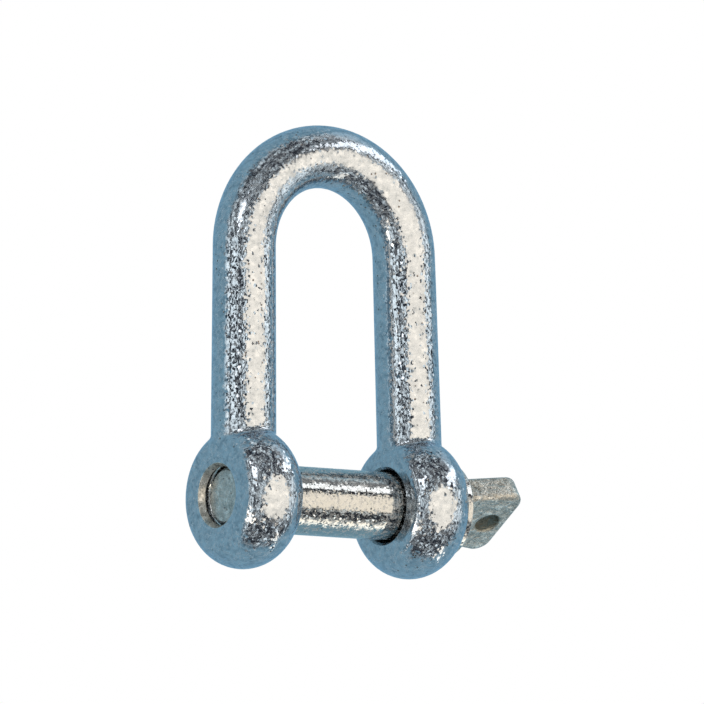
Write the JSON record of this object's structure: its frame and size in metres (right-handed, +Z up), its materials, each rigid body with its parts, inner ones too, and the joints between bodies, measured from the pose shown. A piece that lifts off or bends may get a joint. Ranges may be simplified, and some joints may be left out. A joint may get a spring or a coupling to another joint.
{
  "type": "screw-pin D shackle",
  "caption": "Galvanised D shackle: a forged U body with a tapped and a plain eye, closed by a screw pin with a collar and a flat tab with a mousing hole.",
  "frame": {"origin": "on the pin's axis, midway between the two eyes", "axes": "+X along the pin towards its collar and tab, +Y from the pin to the crown of the bow, +Z up, square to the plane of the shackle, which lies flat"},
  "size_m": [0.0557, 0.0716, 0.0228],
  "materials": {
    "galvanised_body": "bright zinc coat with a fine mottled grain",
    "galvanised_pin": "bright zinc coat, a little yellower and smoother than the body"
  },
  "bodies": {
    "body": {"shackle_body": "galvanised_body"},
    "pin": {"screw_pin": "galvanised_pin"}
  },
  "joints": [
    {"name": "pin_withdraw", "type": "slide", "parent": "body", "child": "pin", "axis": [1, 0, 0], "range_m": [0, 0.046]}
  ]
}
